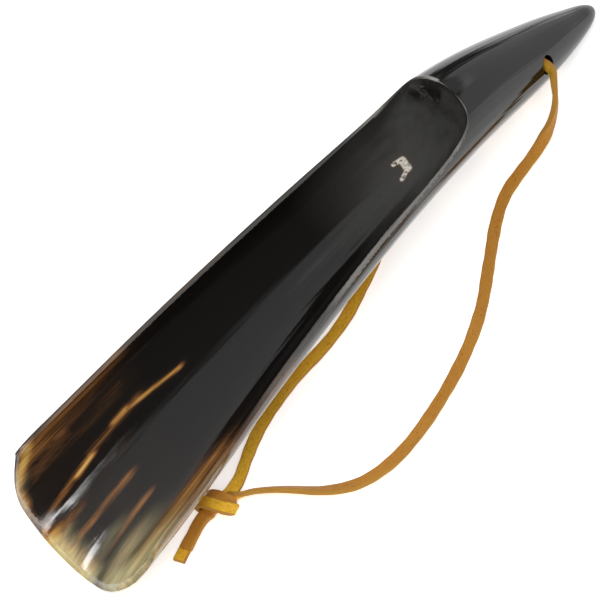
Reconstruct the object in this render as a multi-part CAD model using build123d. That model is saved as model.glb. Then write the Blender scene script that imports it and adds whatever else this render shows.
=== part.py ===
"""Buffalo-horn shoehorn with a leather hanging lace.

The horn lies scoop up on a table: +X runs along its length towards the pointed tip, +Z is up and
the XZ plane is its plane of symmetry, but for the blade's end, which is cut a little aslant. It
touches the table with the back of the blade's end and with the tip, and arches clear of it in
between. Millimetres.
"""
from build123d import *
import math
import os

# ---- driving dimensions ----------------------------------------------------------------------
HORN_LENGTH = 220.0
TIP_X = HORN_LENGTH / 2
BLADE_END_X = -HORN_LENGTH / 2

BLADE_END_HALF_WIDTH = 25.4    # plan of the blade's end before its corners are rounded
BLADE_END_SAGITTA = 2.3
BLADE_END_SLANT = 8.0          # degrees; the end runs back towards its left corner
LEFT_CORNER_RADIUS = 7.0
RIGHT_CORNER_RADIUS = 12.0

BORE_X = 81.3
BORE_Z = 13.4
BORE_DIAMETER = 5.0

LACE_WIDTH = 3.2
ON_TABLE = LACE_WIDTH / 2      # height of the lace's centre line where it lies on the table
LACE_MOUTH_Y = 10.2            # where the lace leaves the bore, just proud of the flank

KNOT_CENTRE = (-70.2, -20.2, 3.6)
KNOT_SIZE = (13.0, 11.0, 7.0)
KNOT_CORNER = 4.0
KNOT_EDGE = 2.0

SKIN_SECTIONS = 34
SCOOP_SECTIONS = 26
CLEAR = 60.0                   # how far the cutting tools run past the horn

# Stations of the horn's skin: x, height of the section's centre, half width, half height.
SKIN = [
    (-114, 14.0, 25.9, 14.0),
    (-85, 18.0, 24.7, 14.4),
    (-50, 21.8, 21.5, 13.3),
    (-15, 23.2, 18.2, 13.0),
    (15, 23.4, 15.6, 13.3),
    (42, 21.7, 13.5, 13.6),
    (62, 17.3, 11.7, 11.6),
    (80, 11.4, 9.5, 8.8),
    (94, 6.9, 6.9, 6.1),
    (103, 4.2, 4.5, 3.9),
    (108, 2.8, 2.5, 2.3),
    (TIP_X - 0.7, 2.3, 1.3, 1.2),
    (TIP_X - 0.15, 2.1, 0.4, 0.4),
]

# Stations of the scoop: x, height of the lip, half width inside the lip, depth below the lip.
SCOOP = [
    (-126, 12.6, 24.0, 17.0),
    (-110, 15.2, 23.7, 13.7),
    (-100, 16.4, 23.4, 12.3),
    (-75, 20.0, 22.0, 12.6),
    (-45, 23.0, 19.3, 11.9),
    (-15, 24.8, 16.6, 12.0),
    (8, 25.2, 14.6, 12.0),
    (24, 25.0, 13.2, 10.6),
    (34, 24.9, 12.2, 8.6),
    (41, 25.6, 10.9, 6.2),
    (46, 27.4, 8.8, 4.2),
    (49, 30.4, 5.2, 2.2),
]

# Side view of the lip: down to the blade's end, nearly level, then a quarter turn to the crown.
LIP_LINE = [
    (-130, 0.0), (-112, 4.5), (-105, 9.8), (-100.5, 14.2), (-95, 16.9), (-85, 18.5), (-50, 22.6),
    (-15, 24.8), (10, 25.2), (30, 24.8), (41, 25.6), (48, 28.6), (50.4, 34.5),
]

# Hand-laid routes of the lace, from the bore's mouths to the knot and from the knot to its ends.
RIGHT_STRAND = [
    (BORE_X, -LACE_MOUTH_Y, BORE_Z), (BORE_X, -13.2, BORE_Z), (79.6, -16.6, 12.0),
    (75.2, -18.6, 8.4), (68.5, -18.8, 4.6), (60.0, -17.8, 2.3), (51.0, -18.2, ON_TABLE),
    (41.0, -21.8, ON_TABLE), (27.5, -29.8, ON_TABLE), (12.0, -39.4, ON_TABLE),
    (-7.0, -46.0, ON_TABLE), (-30.0, -50.4, ON_TABLE), (-44.5, -48.2, ON_TABLE),
    (-53.0, -40.4, ON_TABLE), (-57.8, -31.4, 1.8), (-64.0, -24.6, 2.6),
]
LEFT_STRAND = [
    (BORE_X, LACE_MOUTH_Y, BORE_Z), (BORE_X, 13.2, BORE_Z), (79.6, 16.2, 11.8),
    (75.0, 17.8, 8.0), (67.5, 17.2, 4.2), (57.0, 14.4, 2.0), (43.0, 8.8, ON_TABLE),
    (27.0, 1.0, ON_TABLE), (9.0, -6.2, ON_TABLE), (-12.0, -11.4, ON_TABLE),
    (-34.0, -10.6, ON_TABLE), (-49.0, -13.6, ON_TABLE), (-57.0, -16.8, 2.0), (-64.0, -18.8, 2.6),
]
UPPER_TAIL = [(-76.5, -20.4, 2.4), (-81.0, -20.6, 1.7), (-86.0, -22.4, ON_TABLE)]
LOWER_TAIL = [(-76.0, -16.6, 2.2), (-81.5, -18.4, ON_TABLE), (-91.0, -23.6, ON_TABLE)]


def sample(stations, x):
    """The stations' values at x, on a smooth curve through them."""
    last = len(stations) - 2
    i = max(0, min(last, sum(1 for s in stations if s[0] <= x) - 1))
    before = stations[max(i - 1, 0)]
    here, there = stations[i], stations[i + 1]
    after = stations[min(i + 2, len(stations) - 1)]
    gap = there[0] - here[0]
    t = (x - here[0]) / gap
    values = []
    for k in range(1, len(here)):
        slope_here = (there[k] - before[k]) / (there[0] - before[0]) * gap
        slope_there = (after[k] - here[k]) / (after[0] - here[0]) * gap
        values.append(
            (2 * t**3 - 3 * t**2 + 1) * here[k] + (t**3 - 2 * t**2 + t) * slope_here
            + (3 * t**2 - 2 * t**3) * there[k] + (t**3 - t**2) * slope_there
        )
    return values


def spread(stations, count):
    """Places along x from the first station to the last, closer together towards the last."""
    first, last = stations[0][0], stations[-1][0]
    return [first + (last - first) * math.sin(math.pi / 2 * i / (count - 1)) for i in range(count)]


def horn_skin():
    """The whole horn, before it is hollowed: ellipses square to its arched centre line."""
    sections = []
    for x in spread(SKIN, SKIN_SECTIONS):
        z, half_width, half_height = sample(SKIN, x)
        step = 0.5
        slope = (z - sample(SKIN, x - step)[0]) / step
        forward = Vector(1, 0, slope)
        plane = Plane(origin=(x, 0, z), x_dir=forward.cross(Vector(0, 1, 0)), z_dir=forward)
        sections.append(plane * Ellipse(half_height, half_width))
    return loft(sections, ruled=True)


def scoop_cavity():
    """The bowl: half ellipses that hang from the lip and shrink towards the crown."""
    sections = []
    for x in spread(SCOOP, SCOOP_SECTIONS):
        lip_z, half_width, depth = sample(SCOOP, x)
        plane = Plane(origin=(x, 0, lip_z), x_dir=(0, 0, 1), z_dir=(1, 0, 0))
        sections.append(plane * Ellipse(depth, half_width))
    return loft(sections, ruled=True)


def above_lip():
    """Everything over the lip, from beyond the blade's end up to the crown."""
    lip = Spline(*[(x, 0, z) for x, z in LIP_LINE])
    start, end = lip @ 0, lip @ 1
    over = Polyline(end, (end.X, 0, CLEAR), (start.X, 0, CLEAR), start)
    return extrude(make_face([lip, over]), amount=CLEAR, both=True)


def blade_outline():
    """Plan of the horn: a shallow slanting arc across the blade's end, with rounded corners."""
    half = BLADE_END_HALF_WIDTH
    lead = half * math.tan(math.radians(BLADE_END_SLANT))
    corner_x = BLADE_END_X + BLADE_END_SAGITTA + lead**2 / (4 * BLADE_END_SAGITTA)
    left, right = (corner_x + lead, half), (corner_x - lead, -half)
    end = ThreePointArc(left, (corner_x - BLADE_END_SAGITTA, 0), right)
    sides = Polyline(right, (CLEAR * 3, -half), (CLEAR * 3, half), left)
    face = make_face([end, sides])
    right_corner, left_corner = face.vertices().sort_by(Axis.X)[:2]
    face = fillet(left_corner, LEFT_CORNER_RADIUS)
    right_corner = face.vertices().sort_by_distance((*right, 0))[0]
    return extrude(fillet(right_corner, RIGHT_CORNER_RADIUS), amount=CLEAR, both=True)


def lace_bore():
    """The cross bore near the tip, that the lace passes through."""
    across = Plane(origin=(BORE_X, 0, BORE_Z), z_dir=(0, 1, 0))
    return extrude(across * Circle(BORE_DIAMETER / 2), amount=CLEAR, both=True)


def horn_body():
    """The carved horn, set down so that its lowest point is on the table, then bored."""
    horn = (horn_skin() & blade_outline()) - above_lip() - scoop_cavity()
    return horn.moved(Location((0, 0, -horn.bounding_box().min.Z))) - lace_bore()


def lace(name, route):
    """A round tube along straight runs joined by the largest tangent arcs that fit."""
    points = [Vector(*p) for p in route]
    radii = []
    for before, corner, after in zip(points, points[1:], points[2:]):
        run_in, run_out = corner - before, after - corner
        half_turn = math.radians(run_in.get_angle(run_out)) / 2
        radii.append(0.45 * min(run_in.length, run_out.length) / math.tan(half_turn))
    path = FilletPolyline(*points, radius=radii) if radii else Line(*points)
    start = Plane(origin=points[0], z_dir=points[1] - points[0])
    solid = sweep(start * Circle(LACE_WIDTH / 2), path=path)
    ideal = math.pi * LACE_WIDTH**2 / 4 * path.length
    print(f"{name}: length {path.length:.1f}, volume / section x length {solid.volume / ideal:.4f},"
          f" radii {[round(r, 1) for r in radii]}")
    return solid


def lace_knot():
    """Outer shape of the overhand knot that ties the two strands together."""
    block = Location(KNOT_CENTRE) * Box(*KNOT_SIZE)
    block = fillet(block.edges().filter_by(Axis.Z), KNOT_CORNER)
    layers = block.edges().group_by(Axis.Z)
    return fillet(layers[0] + layers[-1], KNOT_EDGE)


def main():
    os.makedirs("parts", exist_ok=True)
    across_bore = [(BORE_X, LACE_MOUTH_Y, BORE_Z), (BORE_X, -LACE_MOUTH_Y, BORE_Z)]
    parts = {
        "horn_body": horn_body(),
        "lace_bore_span": lace("lace_bore_span", across_bore),
        "lace_right_strand": lace("lace_right_strand", RIGHT_STRAND),
        "lace_left_strand": lace("lace_left_strand", LEFT_STRAND),
        "lace_knot": lace_knot(),
        "lace_upper_tail": lace("lace_upper_tail", UPPER_TAIL),
        "lace_lower_tail": lace("lace_lower_tail", LOWER_TAIL),
    }
    for name, shape in parts.items():
        export_step(shape, f"parts/{name}.step")
        box = shape.bounding_box()
        print(f"{name}: {box.min} to {box.max}, volume {shape.volume:.0f}")


if __name__ == "__main__":
    main()
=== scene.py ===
"""Looks of the horn shoehorn: polished buffalo horn with a carved scroll, and a leather lace."""
import math

import bmesh
import bpy
import numpy as np
from mathutils import Matrix, Vector


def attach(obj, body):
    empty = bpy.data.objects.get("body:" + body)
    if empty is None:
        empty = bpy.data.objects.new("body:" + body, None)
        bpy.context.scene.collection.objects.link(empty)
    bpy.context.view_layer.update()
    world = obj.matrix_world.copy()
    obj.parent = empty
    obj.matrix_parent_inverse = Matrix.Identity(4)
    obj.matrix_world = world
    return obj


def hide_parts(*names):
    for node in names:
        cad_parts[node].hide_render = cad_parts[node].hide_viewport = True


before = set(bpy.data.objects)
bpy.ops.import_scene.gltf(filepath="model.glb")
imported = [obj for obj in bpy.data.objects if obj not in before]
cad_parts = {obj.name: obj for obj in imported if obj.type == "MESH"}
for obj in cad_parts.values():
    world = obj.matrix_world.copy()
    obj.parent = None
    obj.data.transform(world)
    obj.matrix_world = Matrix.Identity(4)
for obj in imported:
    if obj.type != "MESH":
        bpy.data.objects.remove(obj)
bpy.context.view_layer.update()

MM = 0.001

# ---- the horn's form, in millimetres, close to the CAD part's -----------------------------------
# x, height of the section's centre, half width, half height
SKIN = np.array([
    (-126, 12.4, 25.7, 13.6),
    (-114, 14.0, 25.9, 14.0),
    (-85, 18.0, 24.8, 14.4),
    (-50, 21.8, 21.5, 13.3),
    (-15, 23.2, 18.2, 13.0),
    (15, 23.4, 15.6, 13.3),
    (42, 21.7, 13.5, 13.6),
    (62, 17.3, 11.7, 11.6),
    (80, 11.4, 9.5, 8.8),
    (94, 6.9, 6.9, 6.1),
    (103, 4.2, 4.5, 3.9),
    (108, 2.8, 2.5, 2.3),
    (109.5, 2.3, 1.25, 1.2),
    (110, 2.1, 0.0, 0.0),
])
# side view of the lip: x, z
LIP_LINE = np.array([
    (-130, 0.0), (-112, 4.5), (-105, 9.8), (-100.5, 14.2), (-95, 16.9), (-85, 18.4), (-50, 22.6),
    (-15, 24.8), (10, 25.2), (30, 24.8), (41, 25.6), (48, 28.6), (50.4, 34.5),
])
# side view of the bowl's floor: x, z
BOWL_FLOOR = np.array([
    (-126, -5.0), (-110, 1.0), (-107, 1.95), (-103, 3.0), (-98, 4.2), (-92, 5.4), (-85, 6.5),
    (-75, 7.9), (-45, 11.1), (-15, 12.8), (8, 13.2), (24, 14.4), (34, 16.3), (41, 19.4),
    (46, 23.2), (49, 28.2), (50.4, 32.0),
])
BLADE_END_X = -110.0
END_SAGITTA = 2.5          # how far the end's arc falls back at its half width
END_HALF_WIDTH = 26.5
END_SLANT = 0.14           # how much further back the end lies for each mm to the left
END_SLANT_FROM_Y = -16.0
LEFT_CORNER_RADIUS = 7.0
RIGHT_CORNER_RADIUS = 12.5
CORNER_TO_Y = 25.6         # where the corners of the blade's end run out into its sides
BLADE_BEND = 1.2           # how far the blade's end leans to the left
BEND_FROM_X = -40.0
END_BLEND_X = -84.0        # rows are square to the length from here on
LIP_WIDTH = 1.5
LIP_NARROWS = [(8, LIP_WIDTH), (38, 0.8), (50, 0.35)]     # x, width of the lip
END_LIP_SHARE = 0.8        # the lip's width at the blade's end, as a share of its full width
LIP_CROWN = 0.14           # how far the rounded lip stands out, as a share of its width
MIN_BOWL_DEPTH = 0.02
BORE = (81.3, 13.4)
BORE_RADIUS = 2.5
DRILL_REACH = 14
DRILL_SIDES = 40

# ---- how finely the form is read and meshed -----------------------------------------------------
BLADE_ROWS = 300
HANDLE_ROWS = 110
COLUMNS = 120
RIM_ROWS = 6
SIDE_SAMPLES = 2000        # along a side-view line
SKIN_SAMPLES = 4000        # along the whole horn
LIP_STEPS = 800            # across a section, to find where the lip cuts it
ROW_CROWDING = 1.6         # above 1, rows close up towards the scoop's apex
BACK_CROWDING = 0.4        # above 0, columns close up towards the back
FIT_ROUNDS = 12            # rounds that bring the first rows onto the end's outline
FIT_STEP = 0.7
MIN_RADIUS = 1.0           # keeps the tip's vanishing sections from a division by nothing
TINY = 1e-9                # keeps the length of a vanished direction from being nothing
FAR = 99.0                 # a distance past any that matters
WELD = 1e-6                # in metres


def natural_spline(knots, values):
    """A function of t: the natural cubic through the values at the knots."""
    knots = np.asarray(knots, float)
    values = np.asarray(values, float)
    n = len(knots)
    h = np.diff(knots)
    a = np.eye(n)
    b = np.zeros(n)
    for i in range(1, n - 1):
        a[i, i - 1], a[i, i], a[i, i + 1] = h[i - 1], 2 * (h[i - 1] + h[i]), h[i]
        b[i] = 6 * ((values[i + 1] - values[i]) / h[i] - (values[i] - values[i - 1]) / h[i - 1])
    m = np.linalg.solve(a, b)

    def at(t):
        t = np.asarray(t, float)
        i = np.clip(np.searchsorted(knots, t) - 1, 0, n - 2)
        lo, hi = knots[i + 1] - t, t - knots[i]
        return ((m[i] * lo**3 + m[i + 1] * hi**3) / (6 * h[i])
                + (values[i] / h[i] - m[i] * h[i] / 6) * lo
                + (values[i + 1] / h[i] - m[i + 1] * h[i] / 6) * hi)
    return at


def chord_knots(points):
    """Distance travelled at each point, from point to point."""
    return np.concatenate([[0], np.cumsum(np.linalg.norm(np.diff(points, axis=0), axis=1))])


skin_knots = chord_knots(SKIN[:, [0, 2, 3]])
skin_x, skin_z, skin_w, skin_h = (natural_spline(skin_knots, SKIN[:, k]) for k in range(4))
T_TIP = skin_knots[-1]


def side_line(points):
    """z of x along a side-view line, dense enough to interpolate."""
    knots = chord_knots(points)
    t = np.linspace(0, knots[-1], SIDE_SAMPLES)
    xs, zs = (natural_spline(knots, points[:, k])(t) for k in range(2))
    return lambda x: np.interp(x, xs, zs)


lip_z = side_line(LIP_LINE)
floor_z = side_line(BOWL_FLOOR)


def section(t):
    """Centre x and z, half width, half height, and the section's upward direction at t."""
    t = np.clip(t, 0, T_TIP)
    step = 0.2
    lo, hi = np.clip(t - step, 0, T_TIP), np.clip(t + step, 0, T_TIP)
    dx, dz = skin_x(hi) - skin_x(lo), skin_z(hi) - skin_z(lo)
    size = np.hypot(dx, dz)
    return (skin_x(t), skin_z(t), np.maximum(skin_w(t), 0), np.maximum(skin_h(t), 0),
            -dz / size, dx / size)


def lip_cosine(t):
    """Cosine of the angle from the crown at which the lip cuts the section at t: 1 past the scoop."""
    x, z, w, h, nx, nz = section(t)
    c = np.linspace(-1, 1, LIP_STEPS + 1)[:, None]
    over = (z + h * nz * c) - lip_z(x + h * nx * c)
    cut = over > 0
    first = np.argmax(cut, axis=0)
    hit = cut.any(axis=0)
    i = np.clip(first, 1, LIP_STEPS)
    k = np.arange(t.size)
    f0, f1 = over[i - 1, k], over[i, k]
    at = c[i - 1, 0] + (c[i, 0] - c[i - 1, 0]) * (-f0) / np.where(f1 == f0, 1, f1 - f0)
    return np.where(hit, np.clip(at, -1, 1), 1.0)


lip_t = np.linspace(0, T_TIP, SKIN_SAMPLES)
lip_c = lip_cosine(lip_t)
T_APEX = lip_t[np.argmax(lip_c >= 1.0)]


def rows_to_apex():
    """Stations from the blade's end to the scoop's apex, closing up towards it."""
    t = np.linspace(0, T_APEX, SKIN_SAMPLES)
    t_end = np.interp(BLADE_END_X, skin_x(t), t)
    share = np.linspace(0, 1, BLADE_ROWS)
    return t_end + (T_APEX - t_end) * (1 - (1 - share)**ROW_CROWDING)


def column_shares():
    """Columns round the skin, close together at the back, where the carving is."""
    u = np.linspace(-1, 1, COLUMNS + 1)
    return 0.5 + 0.5 * ((1 - BACK_CROWDING) * u + BACK_CROWDING * u**3)


def outer_point(t, share):
    """Points on the skin; share runs from 0 at the right lip round the back to 1 at the left lip."""
    x, z, w, h, nx, nz = section(t)
    start = np.arccos(np.clip(np.interp(t, lip_t, lip_c), -1, 1))
    angle = start + (2 * math.pi - 2 * start) * share
    c, s = np.cos(angle), np.sin(angle)
    return np.stack([x + h * nx * c, -w * s, z + h * nz * c], -1)


# ---- the carved scroll on the back, seen from behind with the tip up ----------------------------
# One branch, in lengths of itself: across towards its hook's open side, then along from its root.
HOOK = np.array([(0, 0), (-0.19, 0.13), (-0.26, 0.32), (-0.21, 0.53), (-0.08, 0.62), (0.08, 0.58)])
STEM = np.array([(0.02, 0), (0.19, 0.08), (0.34, 0.24), (0.42, 0.44), (0.40, 0.68), (0.32, 0.88),
                 (0.26, 1)])
# root x, root y, length, side of the stem
BRANCHES = [
    (59.5, -5.2, 33.7, 1), (25.9, 1.8, 29.4, -1), (-4.8, -7.65, 36.1, 1), (-40.9, 0.9, 30.6, -1),
    (-72.7, -7.65, 30.8, 1),
]
TOP_CURL = np.array([
    (75.4, -2.8), (74.2, 1.9), (78.5, 7.8), (86.4, 7.3), (90.7, 0.9), (82.8, -6.7), (73.6, -6.7),
    (65.6, -5.8), (60.7, -5.8),
])
# Half widths of the strokes: the curl's in mm, a hook's and a stem's as shares of their length.
CURL_HALF_WIDTHS = (2.5, 2.0)
HOOK_HALF_WIDTHS = (0.078, 0.098)
STEM_HALF_WIDTHS = (0.082, 0.066)
GROOVE_DEPTH = 0.5
GROOVE_BEVEL = 1.0           # a stroke reaches its full depth this far in from its edge
SCROLL_SPREAD = 1.18         # keeps the strokes off the sides
BACK_SHARES = (0.2, 0.8)     # the part of the way round the skin that is carved


def smooth_line(points, count=60):
    """Points along the smooth plane line through these points."""
    knots = chord_knots(points)
    t = np.linspace(0, knots[-1], count)
    return np.stack([natural_spline(knots, points[:, k])(t) for k in range(2)], -1)


def scroll_lines():
    """Centre lines of the scroll's strokes with the half width at each point."""
    curl = smooth_line(TOP_CURL)
    lines = [(curl, np.linspace(*CURL_HALF_WIDTHS, len(curl)))]
    for root_x, root_y, length, side in BRANCHES:
        for shape, half_widths in ((HOOK, HOOK_HALF_WIDTHS), (STEM, STEM_HALF_WIDTHS)):
            line = smooth_line(shape)
            place = np.stack([root_x - line[:, 1] * length, root_y + side * line[:, 0] * length], -1)
            lines.append((place, np.linspace(*half_widths, len(line)) * length))
    return lines


def round_back(x, y, z):
    """Distance in mm round the skin from the middle of the back."""
    t = np.interp(x, skin_x(lip_t), lip_t)
    w, h = np.maximum(skin_w(t), MIN_RADIUS), np.maximum(skin_h(t), MIN_RADIUS)
    return w * np.arctan2(y / w, (skin_z(t) - z) / h) * SCROLL_SPREAD


def scroll_distance(x, y):
    """Distance in mm from the edge of the scroll's strokes, negative inside them."""
    nearest = np.full(x.shape, FAR)
    for line, half in scroll_lines():
        for (ax, ay), (bx, by), wide in zip(line[:-1], line[1:], half):
            span = (bx - ax)**2 + (by - ay)**2
            share = np.clip(((x - ax) * (bx - ax) + (y - ay) * (by - ay)) / span, 0, 1)
            gap = np.hypot(x - ax - share * (bx - ax), y - ay - share * (by - ay)) - wide
            nearest = np.minimum(nearest, gap)
    return nearest


def carve(grid, share):
    """The skin with the scroll cut into its back."""
    along, across = np.gradient(grid, axis=(0, 1))
    normal = np.cross(along, across)
    normal /= np.maximum(np.linalg.norm(normal, axis=-1), TINY)[..., None]
    normal *= np.where(normal[..., 2:3] > 0, -1, 1)
    back = (share > BACK_SHARES[0]) & (share < BACK_SHARES[1])
    gap = scroll_distance(grid[..., 0], round_back(grid[..., 0], grid[..., 1], grid[..., 2]))
    cut = np.clip(-gap / GROOVE_BEVEL, 0, 1)
    depth = GROOVE_DEPTH * cut * cut * (3 - 2 * cut) * back[None]
    return grid - normal * depth[..., None]


def end_outline(y, inset=0.0):
    """x of the blade's end at y: a shallow arc cut a little aslant, with a rounded corner each side.

    An inset moves it in to where the bowl ends.
    """
    outer_radius = np.where(y > 0, LEFT_CORNER_RADIUS, RIGHT_CORNER_RADIUS)
    radius = outer_radius - inset
    corner = np.clip((np.abs(y) - CORNER_TO_Y + outer_radius) / radius, 0, 1)
    arc = END_SAGITTA * (y / END_HALF_WIDTH)**2 + END_SLANT * (y - END_SLANT_FROM_Y)
    return BLADE_END_X + inset * END_LIP_SHARE + arc + radius * (1 - np.sqrt(1 - corner**2))


def blend_from_end(rows_x, outline):
    """x of points on rows that turn from the end's outline to square across the horn."""
    along = np.clip((rows_x - BLADE_END_X) / (END_BLEND_X - BLADE_END_X), 0, 1)
    return np.where(along < 1, outline + (END_BLEND_X - outline) * along, rows_x)


def blade_grid(t_blade, share):
    """The skin from the blade's end to the apex, its first row on the end's outline."""
    t, shares = np.meshgrid(t_blade, share, indexing="ij")
    rows_x = np.repeat(skin_x(t_blade)[:, None], len(share), axis=1)
    near_end = rows_x < END_BLEND_X
    for _ in range(FIT_ROUNDS):
        p = outer_point(t, shares)
        target = blend_from_end(rows_x, end_outline(p[..., 1]))
        t = t + FIT_STEP * (target - p[..., 0]) * near_end
    return outer_point(t, shares), rows_x


def inner_lip(right):
    """The lip's inner edge, inset from its outer edge across the cut surface."""
    along = np.gradient(right, axis=0)
    step = 0.05
    slope = (lip_z(right[:, 0] + step) - lip_z(right[:, 0] - step)) / (2 * step)
    up = np.stack([-slope, 0 * slope, np.ones_like(slope)], -1)
    across = np.cross(up, along)
    across /= np.linalg.norm(across, axis=1)[:, None]
    # Inwards is to the left, and towards the blade where the edge turns over the apex.
    across *= np.sign(across[:, 1] - 0.05 * across[:, 0])[:, None]
    width = np.interp(right[:, 0], *zip(*LIP_NARROWS))
    inner = right + across * width[:, None]
    inner[:, 1] = np.minimum(inner[:, 1], 0)
    return inner


def bowl_grid(right, rows_x, end_y):
    """The scoop: half ellipses hung from the lip's inner edge.

    Its columns are spaced as the skin's are at the blade's end, so that the lip joins them straight
    across, and turn to an even spacing, the same on both sides, further up.
    """
    at_end = np.clip(np.where(end_y < 0, -end_y / end_y[0], end_y / end_y[-1]), -1, 1)
    even = (at_end - at_end[::-1]) / 2
    along = np.clip((rows_x - BLADE_END_X) / (END_BLEND_X - BLADE_END_X), 0, 1)
    across = at_end + (even - at_end) * along
    inner = inner_lip(right)
    y = -inner[:, 1:2] * across
    x = np.repeat(inner[:, 0:1], len(end_y), axis=1)
    near_end = rows_x < END_BLEND_X
    x = np.where(near_end, blend_from_end(rows_x, end_outline(y, LIP_WIDTH)), x)
    depth = np.maximum(inner[:, 2:3] - floor_z(x), MIN_BOWL_DEPTH)
    z = inner[:, 2:3] - depth * np.sqrt(1 - across**2)
    return np.stack([x, y, z], -1)


def around(grid):
    """The open border of a blade grid: up the right edge's end, round it and back to the apex."""
    return np.concatenate([grid[::-1, 0], grid[0, 1:-1], grid[:, -1]])


def rim_rows(outer_edge, inner_edge):
    """Rows that join the skin to the bowl over a rounded lip."""
    rows = []
    ahead = np.roll(outer_edge, -1, axis=0) - np.roll(outer_edge, 1, axis=0)
    span = inner_edge - outer_edge
    out = np.cross(ahead, span)
    out /= np.maximum(np.linalg.norm(out, axis=1), TINY)[:, None]
    width = np.linalg.norm(span, axis=1)[:, None]
    for k in range(RIM_ROWS + 1):
        angle = math.pi * k / RIM_ROWS
        move = (1 - math.cos(angle)) / 2
        rows.append(outer_edge + span * move + out * width * LIP_CROWN * math.sin(angle))
    return np.array(rows)


def add_grid(verts, faces, grid):
    """Adds a grid's points and its four-sided faces to the lists."""
    rows, columns = grid.shape[:2]
    first = len(verts)
    verts.extend(grid.reshape(-1, 3).tolist())
    for i in range(rows - 1):
        for j in range(columns - 1):
            a = first + i * columns + j
            faces.append((a, a + 1, a + columns + 1, a + columns))


def horn_mesh():
    """The horn as one closed mesh: skin, rounded lip and bowl."""
    share = column_shares()
    t_blade = rows_to_apex()
    t_handle = T_APEX + (T_TIP - T_APEX) * np.sin(np.linspace(0, math.pi / 2, HANDLE_ROWS))
    blade, rows_x = blade_grid(t_blade, share)
    handle = outer_point(*np.meshgrid(t_handle, share, indexing="ij"))
    handle[0] = blade[-1]
    blade[1:], handle = carve(blade, share)[1:], carve(handle, share)
    handle[0] = blade[-1]
    bowl = bowl_grid(blade[:, 0], rows_x, blade[0, :, 1])
    verts, faces = [], []
    add_grid(verts, faces, blade)
    add_grid(verts, faces, handle)
    add_grid(verts, faces, bowl[:, ::-1])
    rim_from = len(verts)
    add_grid(verts, faces, rim_rows(around(blade), around(bowl)))
    verts = np.array(verts)
    bend = np.clip((BEND_FROM_X - verts[:, 0]) / (BEND_FROM_X - BLADE_END_X), 0, 1)
    verts[:, 1] += BLADE_BEND * bend**2
    verts[:, 2] -= verts[:, 2].min()
    mesh = bpy.data.meshes.new("horn")
    mesh.from_pydata((verts * MM).tolist(), [], faces)
    rim = (np.arange(len(verts)) >= rim_from).astype(float)
    mesh.attributes.new("rim", "FLOAT", "POINT").data.foreach_set("value", rim)
    shape = bmesh.new()
    shape.from_mesh(mesh)
    bmesh.ops.remove_doubles(shape, verts=shape.verts, dist=WELD)
    bmesh.ops.recalc_face_normals(shape, faces=shape.faces)
    shape.to_mesh(mesh)
    shape.free()
    for polygon in mesh.polygons:
        polygon.use_smooth = True
    horn = bpy.data.objects.new("horn", mesh)
    bpy.context.scene.collection.objects.link(horn)
    return horn


# ---- the lace: one strap, halved at the middle of the bore ---------------------------------------
LACE_WIDTH = 3.2
LACE_THICKNESS = 1.5
EDGE_ROUND = 0.3
# How the cut lace's width wanders: share of the width, radians per metre, phase.
WIDTH_WAVES = [(0.035, 410, 1.3), (0.025, 1130, 0)]
LINE_STEPS = 14            # points to each control point of a route
# Route points in mm, each followed by the way the strap's grain side faces.
RIGHT_STRAND = [
    (81.3, 0.0, 13.4, 0.9, 0, -0.3), (81.3, -9.0, 13.0, 0.9, 0, -0.3),
    (80.7, -11.0, 12.8, 0.9, -0.2, -0.2), (78.0, -13.4, 11.9, 0.8, -0.5, -0.1),
    (74.8, -16.2, 9.4, 0.6, -0.8, 0), (70.6, -17.6, 5.9, 0.5, -0.8, 0.3),
    (66.0, -17.9, 3.4, 0.3, -0.6, 0.7), (60.8, -18.1, 1.8, 0.1, -0.3, 0.9),
    (54.6, -18.4, 1.3, 0, -0.1, 1), (47.0, -19.4, 1.2, 0, -0.1, 1), (38.3, -23.3, 1.2, 0, -0.1, 1),
    (27.5, -30.0, 1.2, 0, -0.1, 1), (12.0, -39.6, 1.2, 0, -0.1, 1), (-7.0, -46.2, 1.2, 0, -0.1, 1),
    (-30.0, -50.0, 1.2, 0, 0, 1), (-44.5, -48.0, 1.4, 0.1, 0.1, 1),
    (-52.8, -41.4, 1.7, 0.4, 0.25, 0.85), (-58.6, -31.8, 2.0, 0.6, 0.45, 0.65),
    (-63.6, -25.8, 2.3, 0.54, 0.58, 0.6),
]
LEFT_STRAND = [
    (81.3, 0.0, 13.4, 0.9, 0, -0.3), (81.3, 8.6, 12.5, 0.9, 0, -0.3),
    (81.2, 9.6, 11.6, 0.9, 0.2, -0.2), (81.1, 10.0, 9.6, 0.9, 0.3, -0.2),
    (80.4, 10.0, 7.2, 0.8, 0.3, -0.4), (78.2, 10.8, 4.0, 0.5, 0.2, -0.8),
    (73.4, 12.0, 2.0, 0.1, 0, -1), (66.5, 13.4, 1.3, 0, 0, -1),
    (57.0, 13.4, 1.2, 0, 0, -1), (43.0, 8.8, 1.2, 0, 0, -1), (26.0, 1.8, 1.2, 0, 0.1, -1),
    (7.4, -5.2, 1.2, 0, 0.2, -1), (-12.0, -11.0, 1.2, 0, 0.2, -1), (-34.0, -10.6, 1.2, 0, 0.2, -1),
    (-49.0, -13.6, 1.2, 0, 0.2, -1), (-57.2, -17.0, 1.6, 0, 0.2, -1),
    (-63.2, -20.3, 2.8, 0, 0.2, -1),
]
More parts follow.
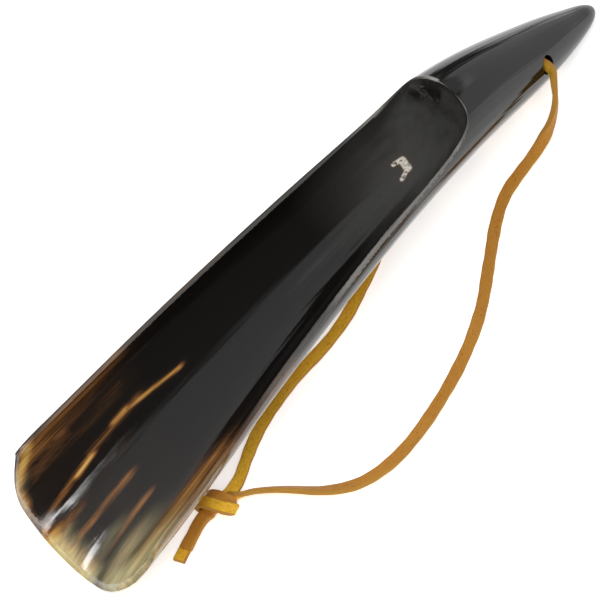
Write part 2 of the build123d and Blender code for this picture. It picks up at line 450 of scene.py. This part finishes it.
# The knot's turns and the loose ends, which go on from each strand.
RIGHT_TURNS = [
    (-66.0, -24.2, 2.5, 0.5, 0.6, 0.6), (-68.3, -22.4, 2.6, 0.9, 0.4, 0.1),
    (-70.3, -19.8, 1.9, 0.5, 0.2, -0.8), (-71.9, -18.0, 1.7, 0, 0.3, -1),
    (-73.1, -17.4, 3.2, -0.2, 1, 0), (-72.6, -18.2, 5.2, -0.1, 0.5, 0.9),
    (-72.0, -20.2, 6.0, 0, 0, 1), (-71.4, -22.4, 5.7, 0, -0.2, 1),
    (-70.6, -23.8, 4.3, 0.1, -0.7, 0.7), (-70.4, -24.1, 2.6, 0.2, -1, -0.2),
    (-71.7, -22.5, 1.9, 0, -0.3, -1), (-73.9, -21.0, 2.4, -0.7, -0.7, -0.1),
    (-76.4, -20.2, 3.0, 0, -0.1, 1), (-78.6, -20.0, 2.8, 0, 0, 1), (-83.1, -21.3, 2.3, 0, 0.1, 1),
    (-87.2, -22.5, 2.2, 0, 0.1, 1),
]
LEFT_TURNS = [
    (-66.9, -21.3, 3.3, 0.2, 0.3, -0.9), (-70.1, -20.8, 2.6, 0.9, 0.1, 0.1),
    (-73.7, -18.9, 1.8, 0.3, 0, 1), (-75.4, -17.5, 2.2, 0, -0.5, 0.8),
    (-75.8, -17.1, 4.1, 0.2, -1, 0), (-75.4, -18.4, 6.0, 0.1, -0.5, -0.9),
    (-75.0, -21.0, 6.8, 0, 0, -1), (-74.3, -23.9, 6.8, 0, 0.1, -1),
    (-72.8, -25.8, 5.6, -0.1, 0.5, -0.9), (-71.1, -25.9, 3.4, -0.2, 1, 0),
    (-71.3, -24.4, 1.6, 0, 0.6, 0.8), (-72.7, -22.1, 1.4, 0.6, 0.2, 0.8),
    (-74.2, -20.3, 1.9, 0.7, 0.7, 0), (-76.5, -19.5, 1.1, 0.1, 0.5, -0.9),
    (-79.3, -19.5, 0.9, 0, 0.1, -1), (-84.3, -20.8, 0.9, 0, 0, -1), (-90.6, -22.7, 0.9, 0, 0, -1),
]


def read_spline(points, name):
    """Points in metres along the smooth line that these control points shape."""
    curve = bpy.data.curves.new(name, "CURVE")
    curve.dimensions = "3D"
    curve.resolution_u = LINE_STEPS
    spline = curve.splines.new("NURBS")
    spline.points.add(len(points) - 1)
    for control, place in zip(spline.points, points):
        control.co = (place[0] * MM, place[1] * MM, place[2] * MM, 1)
    spline.order_u = 3
    spline.use_endpoint_u = True
    holder = bpy.data.objects.new(name, curve)
    mesh = bpy.data.meshes.new_from_object(holder)
    line = np.array([v.co for v in mesh.vertices])
    bpy.data.objects.remove(holder)
    bpy.data.meshes.remove(mesh)
    bpy.data.curves.remove(curve)
    return line


def strap_frame(route, name):
    """The strap's centre line, and its sideways and grain-side directions at each point."""
    route = np.array(route, float)
    line = read_spline(route[:, :3], name)
    facing = route[:, 3:] / np.linalg.norm(route[:, 3:], axis=1)[:, None]
    face = read_spline(route[:, :3] + facing, name) - line
    ahead = np.gradient(line, axis=0)
    ahead /= np.linalg.norm(ahead, axis=1)[:, None]
    face -= ahead * (face * ahead).sum(1)[:, None]
    face /= np.linalg.norm(face, axis=1)[:, None]
    return line, np.cross(ahead, face), face


def strap_profile():
    """The strap's section: across, through, and 1 on the grain side to -1 on the flesh side."""
    w, t, r = LACE_WIDTH / 2, LACE_THICKNESS / 2, EDGE_ROUND
    points = []
    for sx, sy in ((1, 1), (-1, 1), (-1, -1), (1, -1)):
        steps = (0, 45, 90) if sx * sy > 0 else (90, 45, 0)
        for step in steps:
            c, s = math.cos(math.radians(step)), math.sin(math.radians(step))
            points.append((sx * (w - r + r * c), sy * (t - r + r * s), sy * s))
        if sx * sy > 0:
            points.extend((sx * (w - r) * f, sy * t, sy) for f in (0.5, 0.0, -0.5))
    return np.array(points)


def strap(name, line, side, face, start):
    """A leather strap along the line; start is how much lace lies before it, in metres."""
    profile = strap_profile()
    count = len(profile)
    travel = start + chord_knots(line)
    wander = np.ones(len(line))
    for share, pitch, phase in WIDTH_WAVES:
        wander += share * np.sin(travel * pitch + phase)
    verts, grain, lay = [], [], []
    for i, place in enumerate(line):
        for across, through, facing in profile:
            verts.append(place + side[i] * across * wander[i] * MM + face[i] * through * MM)
            grain.append(facing)
            lay.append((travel[i] / MM, across, through))
    faces = []
    for i in range(len(line) - 1):
        for j in range(count):
            a, b = i * count + j, i * count + (j + 1) % count
            faces.append((a, b, b + count, a + count))
    faces.append(tuple(range(count))[::-1])
    faces.append(tuple(range(len(verts) - count, len(verts))))
    mesh = bpy.data.meshes.new(name)
    mesh.from_pydata([tuple(v) for v in verts], [], faces)
    mesh.attributes.new("grain_side", "FLOAT", "POINT").data.foreach_set("value", grain)
    mesh.attributes.new("lay", "FLOAT_VECTOR", "POINT").data.foreach_set(
        "vector", np.array(lay).ravel())
    for polygon in mesh.polygons:
        polygon.use_smooth = len(polygon.vertices) == 4
    mesh.materials.append(leather)
    piece = bpy.data.objects.new(name, mesh)
    bpy.context.scene.collection.objects.link(piece)
    return piece


def join(name, pieces):
    """The pieces as one, in the first one's object."""
    shape = bmesh.new()
    for piece in pieces:
        shape.from_mesh(piece.data)
    bmesh.ops.recalc_face_normals(shape, faces=shape.faces)
    shape.to_mesh(pieces[0].data)
    shape.free()
    for piece in pieces[1:]:
        bpy.data.objects.remove(piece)
    pieces[0].name = name
    return pieces[0]


def add_lace():
    """Both halves of the lace; each strand is a cord that ends in the shared knot."""
    strands, turns = [], []
    for side_name, strand, knot_turns in (
            ("right", RIGHT_STRAND, RIGHT_TURNS), ("left", LEFT_STRAND, LEFT_TURNS)):
        line, side, face = strap_frame(strand + knot_turns, side_name)
        knot_at = np.array(strand[-1][:3]) * MM
        cut = int(np.argmin(np.linalg.norm(line - knot_at, axis=1)))
        before = np.linalg.norm(np.diff(line[:cut + 1], axis=0), axis=1).sum()
        piece = strap("lace_" + side_name, line[:cut + 1], side[:cut + 1], face[:cut + 1], 0)
        strands.append((piece, line[:cut + 1], before))
        turns.append(strap("turns_" + side_name, line[cut:], side[cut:], face[cut:], before))
    knot = join("lace_tied", turns)
    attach(knot, "lace")
    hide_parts("lace_knot", "lace_upper_tail", "lace_lower_tail")
    for (piece, line, length), node, mouth in zip(
            strands, ("lace_right_strand", "lace_left_strand"), (-0.0102, 0.0102)):
        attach(piece, "lace")
        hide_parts(node, "lace_bore_span")


# ---- materials -----------------------------------------------------------------------------------
class Nodes:
    """Short calls for building a material's node tree."""

    def __init__(self, name):
        self.material = bpy.data.materials.new(name)
        self.material.use_nodes = True
        self.tree = self.material.node_tree
        self.shader = self.tree.nodes["Principled BSDF"]

    def put(self, socket, value):
        """Links a socket to the input, or sets the input's own value."""
        if isinstance(value, bpy.types.NodeSocket):
            self.tree.links.new(value, socket)
        else:
            socket.default_value = value

    def attribute(self, name, output="Fac"):
        node = self.tree.nodes.new("ShaderNodeAttribute")
        node.attribute_name = name
        return node.outputs[output]

    def math(self, operation, a, b=0.0, clamp=False):
        node = self.tree.nodes.new("ShaderNodeMath")
        node.operation = operation
        node.use_clamp = clamp
        self.put(node.inputs[0], a)
        self.put(node.inputs[1], b)
        return node.outputs[0]

    def scaled(self, vector, scale):
        """The vector, stretched by a scale for each axis."""
        node = self.tree.nodes.new("ShaderNodeVectorMath")
        node.operation = "MULTIPLY"
        self.put(node.inputs[0], vector)
        node.inputs[1].default_value = scale
        return node.outputs[0]

    def noise(self, vector, scale, detail=3.0, roughness=0.55, distortion=0.0):
        node = self.tree.nodes.new("ShaderNodeTexNoise")
        self.put(node.inputs["Vector"], vector)
        node.inputs["Scale"].default_value = scale
        node.inputs["Detail"].default_value = detail
        node.inputs["Roughness"].default_value = roughness
        node.inputs["Distortion"].default_value = distortion
        return node.outputs["Fac"]

    def fade(self, value, low, high, to_low=0.0, to_high=1.0):
        """A smooth step from to_low, where the value is low, to to_high, where it is high."""
        node = self.tree.nodes.new("ShaderNodeMapRange")
        node.interpolation_type = "SMOOTHSTEP"
        self.put(node.inputs["Value"], value)
        node.inputs["From Min"].default_value = low
        node.inputs["From Max"].default_value = high
        node.inputs["To Min"].default_value = to_low
        node.inputs["To Max"].default_value = to_high
        return node.outputs["Result"]

    def mix(self, share, a, b):
        node = self.tree.nodes.new("ShaderNodeMix")
        node.data_type = "RGBA"
        self.put(node.inputs["Factor"], share)
        self.put(node.inputs["A"], a)
        self.put(node.inputs["B"], b)
        return node.outputs["Result"]

    def ramp(self, value, stops):
        """A colour ramp; stops are places from 0 to 1 and their colours."""
        node = self.tree.nodes.new("ShaderNodeValToRGB")
        self.put(node.inputs["Fac"], value)
        elements = node.color_ramp.elements
        while len(elements) < len(stops):
            elements.new(0.5)
        for element, (place, colour) in zip(elements, stops):
            element.position = place
            element.color = (*colour, 1)
        return node.outputs["Color"]

    def bump(self, height, strength, distance, normal=None):
        node = self.tree.nodes.new("ShaderNodeBump")
        node.inputs["Strength"].default_value = strength
        node.inputs["Distance"].default_value = distance
        self.put(node.inputs["Height"], height)
        if normal is not None:
            self.put(node.inputs["Normal"], normal)
        return node.outputs["Normal"]


# Colours are linear RGBA. The leather's flesh side is golden suede, and its grain side is brown.
SUEDE = ((0.76, 0.40, 0.020, 1), (0.88, 0.54, 0.06, 1))
SUEDE_HOLLOWS = (0.56, 0.26, 0.015, 1)
GRAIN_SIDE = ((0.46, 0.19, 0.022, 1), (0.58, 0.27, 0.045, 1))
GRAIN_SIDE_HOLLOWS = (0.34, 0.13, 0.015, 1)
CUT_EDGE = ((0.36, 0.16, 0.025, 1), (0.55, 0.30, 0.06, 1))
SUEDE_ROUGHNESS = (0.85, 0.85, 0.85, 1)
GRAIN_SIDE_ROUGHNESS = (0.5, 0.5, 0.5, 1)
LEATHER_SPECULAR = 0.25


def leather_material():
    """Oiled lace: brown grain side, golden suede flesh side and darker cut edges."""
    n = Nodes("lace_leather")
    lay = n.attribute("lay", "Vector")
    side = n.attribute("grain_side")
    nap = n.noise(n.scaled(lay, (0.5, 1.2, 1.2)), 1.9, 5.0, 0.65)
    cloud = n.noise(n.scaled(lay, (0.09, 0.3, 0.3)), 1.0, 2.0)
    pores = n.noise(lay, 5.0, 2.0)
    flesh = n.mix(cloud, *SUEDE)
    flesh = n.mix(n.fade(nap, 0.45, 0.75), flesh, SUEDE_HOLLOWS)
    grain = n.mix(cloud, *GRAIN_SIDE)
    grain = n.mix(n.fade(nap, 0.5, 0.72), grain, GRAIN_SIDE_HOLLOWS)
    edge = n.mix(cloud, *CUT_EDGE)
    on_flesh = n.fade(side, -0.75, -0.9)
    on_grain = n.fade(side, 0.75, 0.9)
    colour = n.mix(on_grain, n.mix(on_flesh, edge, flesh), grain)
    n.put(n.shader.inputs["Base Color"], colour)
    roughness = n.mix(on_grain, SUEDE_ROUGHNESS, GRAIN_SIDE_ROUGHNESS)
    n.put(n.shader.inputs["Roughness"], roughness)
    n.put(n.shader.inputs["Normal"], n.bump(pores, 0.25, 0.0002, n.bump(nap, 0.5, 0.0004)))
    n.shader.inputs["Specular IOR Level"].default_value = LEATHER_SPECULAR
    return n.material


# From horn that is black right through to horn thin or clear enough to glow amber.
HORN_COLOURS = [
    (0.0, (0.0065, 0.0055, 0.005)), (0.25, (0.014, 0.009, 0.006)), (0.45, (0.055, 0.024, 0.010)),
    (0.65, (0.20, 0.085, 0.025)), (0.82, (0.45, 0.23, 0.055)), (1.0, (0.60, 0.43, 0.14)),
]
PALE_HORN = (0.62, 0.55, 0.29, 1)
LIP_HIGHLIGHT_GREY = (0.50, 0.48, 0.44, 1)
DULL_HORN = (0.036, 0.035, 0.032, 1)
STAINED_HORN = (0.05, 0.032, 0.021, 1)
CHALK_AND_HIGHLIGHT_COLOUR = (0.72, 0.66, 0.57, 1)
GROOVE_FLOOR = ((0.42, 0.19, 0.05, 1), (0.55, 0.28, 0.085, 1))
GROOVE_FLOOR_SPECKS = (0.25, 0.10, 0.03, 1)
GROOVE_EDGE = (0.66, 0.60, 0.44, 1)
ROUGH_HORN_ADDS = 0.35
HORN_IOR = 1.54


def horn_material():
    """Polished buffalo horn: black, streaked with brown, amber and cream at the blade's end."""
    n = Nodes("horn")
    grain = n.attribute("grain", "Vector")
    warm = n.attribute("warm")
    pale = n.attribute("pale")
    groove = n.attribute("scroll")
    fibres = n.noise(n.scaled(grain, (0.035, 0.8, 0.8)), 1.0, 5.0, 0.6, 0.3)
    wide = n.noise(n.scaled(grain, (0.02, 0.22, 0.22)), 1.0, 2.0, 0.5, 0.4)
    fine = n.noise(n.scaled(grain, (0.06, 3.0, 3.0)), 1.0, 3.0)
    stir = n.math("ADD", n.math("MULTIPLY", n.math("SUBTRACT", fibres, 0.5), 0.9),
                  n.math("MULTIPLY", n.math("SUBTRACT", wide, 0.5), 0.7))
    stirred = n.math("ADD", warm, n.math("MULTIPLY", stir, n.fade(warm, 0.02, 0.35)), True)
    colour = n.ramp(stirred, HORN_COLOURS)
    pale_here = n.math("MULTIPLY", pale, n.fade(fibres, 0.2, 0.7, 0.55, 1.0), True)
    colour = n.mix(pale_here, colour, PALE_HORN)
    # Painted highlight: the lip and the facet by the apex are mixed towards pale grey.
    lip = n.math("MULTIPLY", n.fade(n.attribute("rim"), 0.3, 0.9), n.attribute("lip_highlight"), True)
    lip_highlight_here = n.math("MULTIPLY", lip, n.fade(fine, 0.1, 0.5, 0.6, 1.0))
    colour = n.mix(lip_highlight_here, colour, LIP_HIGHLIGHT_GREY)
    dull = n.math("MULTIPLY", n.attribute("dull"), n.fade(wide, 0.2, 0.6, 0.6, 1.0), True)
    colour = n.mix(dull, colour, DULL_HORN)
    crumbs = n.noise(n.scaled(grain, (1.1, 0.9, 0.9)), 1.0, 4.0, 0.7)
    chalk_and_highlight = n.attribute("chalk_and_highlight")
    colour = n.mix(n.fade(chalk_and_highlight, 0.02, 0.5, 0.0, 0.75), colour, STAINED_HORN)
    # The rough pale spot: partly real pale scratches, partly a painted highlight.
    chalk_highlight_here = n.math("MULTIPLY", n.fade(chalk_and_highlight, 0.5, 0.85), n.fade(crumbs, 0.36, 0.50), True)
    colour = n.mix(chalk_highlight_here, colour, CHALK_AND_HIGHLIGHT_COLOUR)
    # The scroll attribute is the distance from a stroke's edge, in mm, negative inside it.
    floor_colour = n.mix(n.fade(wide, 0.35, 0.65), *GROOVE_FLOOR)
    floor_colour = n.mix(n.fade(fine, 0.5, 0.8, 0.0, 0.5), floor_colour, GROOVE_FLOOR_SPECKS)
    cut_colour = n.mix(n.fade(groove, -0.75, -1.05), GROOVE_EDGE, floor_colour)
    cut = n.fade(groove, 0.05, -0.12)
    colour = n.mix(cut, colour, cut_colour)
    n.put(n.shader.inputs["Base Color"], colour)
    smear = n.noise(n.scaled(grain, (0.12, 0.25, 0.25)), 1.0, 3.0)
    rough = n.math("MAXIMUM", n.math("MAXIMUM", cut, chalk_highlight_here), n.math("MAXIMUM", lip, dull))
    polish = n.fade(smear, 0.3, 0.8, 0.05, 0.13)
    n.put(n.shader.inputs["Roughness"],
          n.math("ADD", polish, n.math("MULTIPLY", rough, ROUGH_HORN_ADDS)))
    scratches = n.noise(n.scaled(grain, (0.25, 5.0, 5.0)), 1.0, 2.0)
    waves = n.noise(n.scaled(grain, (0.02, 0.3, 0.3)), 1.0, 1.5)
    relief = n.bump(waves, 0.17, 0.001, n.bump(scratches, 0.04, 0.0002))
    n.put(n.shader.inputs["Normal"], relief)
    n.shader.inputs["IOR"].default_value = HORN_IOR
    return n.material


# ---- where the horn is streaked, rubbed and rough -------------------------------------------------
# Every mark is a soft stroke in plan: from x, y to x, y and half width, in mm, then its strength.
# Streaks where the horn thins to translucent.
STREAKS = [
    (-50, 10.6, -66, 13.7, 0.5, 0.80), (-64, 13.8, -82, 14.4, 0.75, 0.68),
    (-68, 14.3, -72, 14.5, 0.6, 0.98), (-80, 14.4, -98, 12.8, 0.9, 0.60),
    (-83, 13.6, -88, 13.2, 0.7, 0.95), (-82, 2.2, -100, 2.6, 1.1, 0.52),
    (-60, 22.0, -104, 24.5, 1.5, 0.60), (-94, 24.6, -103, 22.4, 1.2, 0.85),
    (-102.0, 22.0, -105.5, 14.0, 0.8, 0.70), (-84, 21.6, -95, 21.2, 0.9, 0.52),
    (-105, 11.5, -107.5, 6.0, 1.2, 0.85), (-107, 9.0, -110, -6.0, 1.8, 0.95),
    (-99, 7.5, -108, 6.0, 1.8, 0.60), (-98, -12.0, -110, -12.0, 3.0, 0.52),
    (-40, -21.5, -106, -25.0, 2.4, 0.60), (-68, -16.5, -106, -19.0, 3.0, 0.72),
    (-20, 18.5, -60, 22.0, 0.7, 0.42), (-84, -6.0, -104, -8.0, 1.2, 0.46),
    (-66, 18.5, -92, 19.8, 1.4, 0.28), (-76, 9.0, -96, 8.0, 1.2, 0.30),
]
# Where it is paler still.
PALE_SPOTS = [
    (-100, -20.5, -106, -16.0, 3.0, 0.92), (-74, -22.5, -98, -24.0, 1.5, 0.12),
    (-107.0, 6.0, -109.5, -8.0, 1.1, 0.80), (-102.5, 22.5, -104.5, 19.5, 0.8, 0.40),
    (-97, -12.5, -107, -13.5, 2.0, 0.42), (-96, -5.0, -106, -6.5, 1.2, 0.18),
]
# Where the lip and the blade's end rim are painted pale grey: a painted highlight.
LIP_HIGHLIGHT_STROKES = [
    (50, 2.0, 36, 10.5, 2.2, 1.0), (47, -8.0, 40, -12.0, 1.5, 0.6),
    (38, -12.0, -8, -16.5, 2.5, 0.42), (-8, -17.0, -40, -20.0, 2.5, 0.15),
    (30, 11.0, -80, 23.5, 2.5, 0.12), (-101.5, 23.0, -104.0, 14.5, 2.0, 0.35),
    (-109.0, -9.0, -108.5, -16.0, 1.6, 0.35),
]
# A rough pale spot in the scoop's top; its paleness is partly real scratches, partly a painted
# highlight.
CHALK_AND_HIGHLIGHT_SPOT = [
    (31.0, 3.7, 33.3, 2.8, 0.7, 1.0), (33.2, 2.4, 32.2, -0.4, 1.15, 1.0),
    (31.6, -0.4, 28.9, -0.9, 0.8, 0.9),
]
# Where the scoop's dull top stays dark: a painted dark reflection.
DARK_REFLECTION_CRESCENT = [(46.5, 9.0, 48.7, 5.5, 0.9, 0.9), (48.7, 5.5, 49.2, 0.5, 0.8, 0.9)]

LENGTHWISE = 0.3             # distances along the grain count this much: streaks have long soft ends
SKIN_REACH = 0.93            # points further out than this share of the section are on the skin
BACK_HEIGHT = 0.2            # the back reaches this share of the half height over the centre
GRAIN_RADIUS = 20            # the grain is laid out as if every section had this radius
# The horn glows a little, more and more towards the blade's end.
GLOW_FROM_X = -62
GLOW_LENGTH = 60
GLOW_STRENGTH = 0.30
# The scoop turns dull towards its apex.
DULL_FROM_X = 2
DULL_LENGTH = 26
# The facet cut at the left of the apex gets the lip's painted highlight as well.
FACET_X = (30, 50.3)
FACET_HEIGHT = 1.5


def strokes(x, y, marks, stretch=LENGTHWISE):
    """The strongest of the soft strokes at each point."""
    most = np.zeros(x.shape)
    for ax, ay, bx, by, half, strength in marks:
        share = np.clip(((x - ax) * (bx - ax) + (y - ay) * (by - ay))
                        / ((bx - ax)**2 + (by - ay)**2), 0, 1)
        gap_x, gap_y = x - ax - share * (bx - ax), y - ay - share * (by - ay)
        gap = np.hypot(gap_x * stretch, gap_y) / half
        most = np.maximum(most, strength * np.exp(-0.5 * gap**2))
    return most


def mark_horn(horn):
    """Vertex values that the horn's material reads."""
    mesh = horn.data
    xyz = np.zeros(len(mesh.vertices) * 3)
    mesh.vertices.foreach_get("co", xyz)
    x, y, z = (xyz.reshape(-1, 3) / MM).T
    t = np.interp(x, skin_x(lip_t), lip_t)
    w, h, centre = np.maximum(skin_w(t), MIN_RADIUS), np.maximum(skin_h(t), MIN_RADIUS), skin_z(t)
    grain = np.stack([x, GRAIN_RADIUS * y / w, GRAIN_RADIUS * (z - centre) / h], -1)
    reach = np.hypot(y / w, (z - centre) / h)
    outside = reach > SKIN_REACH
    inside = reach < SKIN_REACH
    on_back = z < centre + BACK_HEIGHT * h
    gap = np.where(on_back & outside, scroll_distance(x, round_back(x, y, z)), FAR)
    glow = np.clip((GLOW_FROM_X - x) / GLOW_LENGTH, 0, 1)
    warm = np.maximum(strokes(x, y, STREAKS), GLOW_STRENGTH * glow)
    pale = strokes(x, y, PALE_SPOTS)
    # Where the lip gets its painted highlight.
    lip_highlight = strokes(x, y, LIP_HIGHLIGHT_STROKES)
    chalk_and_highlight = strokes(x, y, CHALK_AND_HIGHLIGHT_SPOT, 1.0) * inside
    dull = np.clip((x - DULL_FROM_X) / DULL_LENGTH, 0, 1) * inside
    # Painted dark reflection: the dull grey is held back in a crescent.
    dull *= 1 - strokes(x, y, DARK_REFLECTION_CRESCENT, 1.0)
    rim = np.zeros(len(mesh.vertices))
    mesh.attributes["rim"].data.foreach_get("value", rim)
    facet = (x > FACET_X[0]) & (x < FACET_X[1]) & (y > 0) & (z > lip_z(x) - FACET_HEIGHT) & outside
    mesh.attributes["rim"].data.foreach_set("value", np.maximum(rim, facet))
    for name, kind, field, values in (
            ("grain", "FLOAT_VECTOR", "vector", grain), ("scroll", "FLOAT", "value", gap),
            ("warm", "FLOAT", "value", warm), ("pale", "FLOAT", "value", pale),
            ("lip_highlight", "FLOAT", "value", lip_highlight), ("chalk_and_highlight", "FLOAT", "value", chalk_and_highlight),
            ("dull", "FLOAT", "value", dull)):
        mesh.attributes.new(name, kind, "POINT").data.foreach_set(field, np.ravel(values))


SHARP_ANGLE = math.radians(38)


def drill(horn):
    """The lace's bore, right through the handle."""
    shape = bmesh.new()
    rings = []
    for y in (-DRILL_REACH, DRILL_REACH):
        ring = []
        for k in range(DRILL_SIDES):
            angle = 2 * math.pi * k / DRILL_SIDES
            x = BORE[0] + BORE_RADIUS * math.cos(angle)
            z = BORE[1] + BORE_RADIUS * math.sin(angle)
            ring.append(shape.verts.new((x * MM, y * MM, z * MM)))
        rings.append(ring)
    low, high = rings
    for k in range(DRILL_SIDES):
        after = (k + 1) % DRILL_SIDES
        shape.faces.new((low[k], low[after], high[after], high[k]))
    shape.faces.new(low[::-1])
    shape.faces.new(high)
    bmesh.ops.recalc_face_normals(shape, faces=shape.faces)
    mesh = bpy.data.meshes.new("drill")
    shape.to_mesh(mesh)
    shape.free()
    tool = bpy.data.objects.new("drill", mesh)
    bpy.context.scene.collection.objects.link(tool)
    cut = horn.modifiers.new("bore", "BOOLEAN")
    cut.operation = "DIFFERENCE"
    cut.solver = "EXACT"
    cut.object = tool
    depsgraph = bpy.context.evaluated_depsgraph_get()
    drilled = bpy.data.meshes.new_from_object(horn.evaluated_get(depsgraph))
    horn.modifiers.clear()
    horn.data = drilled
    drilled.name = "horn"
    bpy.data.objects.remove(tool)
    drilled.shade_smooth()
    drilled.set_sharp_from_angle(angle=SHARP_ANGLE)


# ---- camera, floor and lights, in metres ---------------------------------------------------------
SENSOR_WIDTH = 36                        # in mm, as the lens is
CAMERA_ANGLES = (53.3, 36.1, -16.3)      # elevation, bearing, roll, in degrees
CAMERA_DISTANCE = 1.1
FRAME_WIDTH = 0.1602                     # what the frame takes in at the origin
AIM = (-0.0104, -0.0045)                 # from the origin, along the frame's width and height


def add_camera():
    """A long lens from the blade's right, above the table, as a product photograph is taken."""
    elevation, bearing, roll = (math.radians(angle) for angle in CAMERA_ANGLES)
    right = Vector((math.cos(bearing), -math.sin(bearing), 0))
    away = Vector((math.sin(bearing), math.cos(bearing), 0))
    up = away * math.sin(elevation) + Vector((0, 0, math.cos(elevation)))
    back = -away * math.cos(elevation) + Vector((0, 0, math.sin(elevation)))
    image_right = right * math.cos(roll) + up * math.sin(roll)
    image_up = -right * math.sin(roll) + up * math.cos(roll)
    aim = image_right * AIM[0] + image_up * AIM[1]
    data = bpy.data.cameras.new("camera")
    data.sensor_width = SENSOR_WIDTH
    data.lens = SENSOR_WIDTH * CAMERA_DISTANCE / FRAME_WIDTH
    data.clip_end = 10
    camera = bpy.data.objects.new("camera", data)
    camera.matrix_world = Matrix((
        (image_right.x, image_up.x, back.x, 0), (image_right.y, image_up.y, back.y, 0),
        (image_right.z, image_up.z, back.z, 0), (0, 0, 0, 1)))
    camera.location = aim + back * CAMERA_DISTANCE
    bpy.context.scene.collection.objects.link(camera)
    bpy.context.scene.camera = camera


def add_floor():
    """A white table top that glows a little, as an overlit studio sweep does."""
    half = 3.0
    corners = [(-half, -half, 0), (half, -half, 0), (half, half, 0), (-half, half, 0)]
    mesh = bpy.data.meshes.new("floor")
    mesh.from_pydata(corners, [], [(0, 1, 2, 3)])
    floor = bpy.data.objects.new("floor", mesh)
    bpy.context.scene.collection.objects.link(floor)
    material = bpy.data.materials.new("floor")
    material.use_nodes = True
    shader = material.node_tree.nodes["Principled BSDF"]
    shader.inputs["Base Color"].default_value = (0.9, 0.9, 0.9, 1)
    shader.inputs["Roughness"].default_value = 0.9
    shader.inputs["Specular IOR Level"].default_value = 0.0
    shader.inputs["Emission Color"].default_value = (1, 1, 1, 1)
    shader.inputs["Emission Strength"].default_value = 0.55
    mesh.materials.append(material)


def add_light(name, place, level, size, radiance):
    """A rectangular light at place, facing the origin, its width along level.

    The radiance is what a mirror would show of it, so size changes its power and not its brightness.
    """
    back = place.normalized()
    across = (level - back * level.dot(back)).normalized()
    data = bpy.data.lights.new(name, "AREA")
    data.shape = "RECTANGLE"
    data.size, data.size_y = size
    data.energy = radiance * math.pi * size[0] * size[1]
    light = bpy.data.objects.new(name, data)
    light.matrix_world = Matrix((across, back.cross(across), back)).transposed().to_4x4()
    light.location = place
    bpy.context.scene.collection.objects.link(light)
    return light


def add_softbox(name, azimuth, elevation, distance, size, radiance):
    """A soft light, its width level; azimuth turns from +Y towards +X."""
    a, e = math.radians(azimuth), math.radians(elevation)
    place = Vector((math.sin(a) * math.cos(e), math.cos(a) * math.cos(e), math.sin(e))) * distance
    return add_light(name, place, Vector((math.cos(a), -math.sin(a), 0)), size, radiance)


PANEL_FADE = 0.14            # share of a panel's side over which it fades in


def add_panel(name, azimuth, elevation, size, radiance):
    """A softbox a metre away that fades towards its edges."""
    light = add_softbox(name, azimuth, elevation, 1.0, size, radiance)
    light.data.use_nodes = True
    tree = light.data.node_tree
    across = tree.nodes.new("ShaderNodeSeparateXYZ")
    tree.links.new(tree.nodes.new("ShaderNodeNewGeometry").outputs["Parametric"], across.inputs[0])
    fades = []
    for axis in ("X", "Y"):
        inwards = tree.nodes.new("ShaderNodeMath")
        inwards.operation = "PINGPONG"
        tree.links.new(across.outputs[axis], inwards.inputs[0])
        inwards.inputs[1].default_value = 0.5
        fade = tree.nodes.new("ShaderNodeMapRange")
        fade.interpolation_type = "SMOOTHSTEP"
        tree.links.new(inwards.outputs[0], fade.inputs["Value"])
        fade.inputs["From Max"].default_value = PANEL_FADE
        fades.append(fade.outputs["Result"])
    both = tree.nodes.new("ShaderNodeMath")
    both.operation = "MULTIPLY"
    for socket, fade in zip(both.inputs, fades):
        tree.links.new(fade, socket)
    tree.links.new(both.outputs[0], tree.nodes["Emission"].inputs["Strength"])


BLADE_END = Vector((-0.1, 0, 0.005))
TUBE_HALF_SPREAD = math.radians(9)
TUBE_PIECE = 0.05            # the longest piece of a tube


def add_tube(name, start, end, width, radiance):
    """A thin light a metre away, from over x, y to over x, y of the unit sphere.

    Its short pieces shine on the blade's end alone, so they leave no streaks elsewhere.
    """
    count = math.ceil(math.dist(start, end) / TUBE_PIECE)
    places = []
    for i in range(count + 1):
        x, y = (a + (b - a) * i / count for a, b in zip(start, end))
        places.append(Vector((x, y, math.sqrt(1 - x * x - y * y))))
    for i, (low, high) in enumerate(zip(places[:-1], places[1:])):
        place, along = (low + high) / 2, high - low
        light = add_light(f"{name}_{i}", place - BLADE_END, along, (along.length, width), radiance)
        light.location = place
        light.data.spread = 2 * TUBE_HALF_SPREAD
        # A narrow spread makes a light brighter in the middle; this takes that back.
        light.data.energy *= 1 - TUBE_HALF_SPREAD / math.tan(TUBE_HALF_SPREAD)


# Thin lights that draw the two hooked highlights in the bowl's end: start, end, width, radiance.
TUBES = [
    ((-0.39, -0.34), (-0.33, -0.06), 0.06, 16), ((-0.33, -0.07), (-0.275, 0.05), 0.06, 16),
    ((-0.28, 0.045), (-0.16, 0.12), 0.05, 15), ((-0.165, 0.122), (-0.065, 0.085), 0.035, 11),
    ((-0.14, 0.622), (-0.19, 0.607), 0.02, 11), ((-0.19, 0.60), (-0.24, 0.69), 0.05, 16),
    ((-0.235, 0.685), (-0.33, 0.765), 0.04, 16),
]


def add_lights():
    """Thin lights for the blade's end, soft panels for the polish, and a fill no mirror shows."""
    for i, tube in enumerate(TUBES):
        add_tube(f"tube_{i}", *tube)
    add_panel("window", 22, 49, (1.3, 1.5), 0.52)
    add_panel("top_left", -80, 42, (1.6, 0.95), 0.3)
    add_panel("upper_right", 78, 48, (0.9, 0.75), 0.45)
    add_softbox("side", 100, 14, 1.3, (2.2, 0.9), 0.78)
    fill = add_softbox("fill", -144, 62, 1.3, (1.2, 1.2), 2.7)
    fill.visible_glossy = False
    world = bpy.data.worlds.new("world")
    bpy.context.scene.world = world
    world.use_nodes = True
    background = world.node_tree.nodes["Background"]
    background.inputs["Color"].default_value = (1, 1, 1, 1)
    background.inputs["Strength"].default_value = 0.07


leather = leather_material()
horn = horn_mesh()
drill(horn)
mark_horn(horn)
horn.data.materials.clear()
horn.data.materials.append(horn_material())
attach(horn, "horn")
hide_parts("horn_body")
add_lace()
add_camera()
add_floor()
add_lights()
bpy.context.scene.view_settings.view_transform = "Standard"
